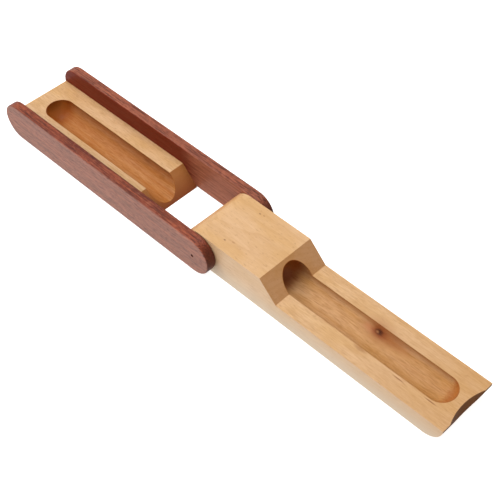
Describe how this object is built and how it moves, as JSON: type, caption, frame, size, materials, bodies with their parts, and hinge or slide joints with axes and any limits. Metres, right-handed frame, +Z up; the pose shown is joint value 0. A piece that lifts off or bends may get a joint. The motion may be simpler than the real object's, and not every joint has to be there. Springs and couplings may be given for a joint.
{
  "type": "folding test tube holder",
  "caption": "Folding wooden case for one test tube: dark side panels, a grooved base block and an arm that swings over on two pins to close it.",
  "frame": {"origin": "under the pivot axis at the level of the underside, midway between the side panels", "axes": "+X along the opened arm toward its tip, +Y toward the left panel, +Z up"},
  "size_m": [0.316, 0.0494, 0.023],
  "materials": {
    "panel_wood": "satin oiled bubinga",
    "block_wood": "satin lacquered maple",
    "pin_steel": "plain bright wire"
  },
  "bodies": {
    "case": {"side_panel_left": "panel_wood", "side_panel_right": "panel_wood", "base_block": "block_wood", "pivot_pin_left": "pin_steel", "pivot_pin_right": "pin_steel"},
    "arm": {"swing_arm": "block_wood"}
  },
  "joints": [
    {"name": "arm_pivot", "type": "hinge", "parent": "case", "child": "arm", "pos_m": [0, 0, 0.0115], "axis": [0, -1, 0], "range_deg": [-149, 180]}
  ]
}
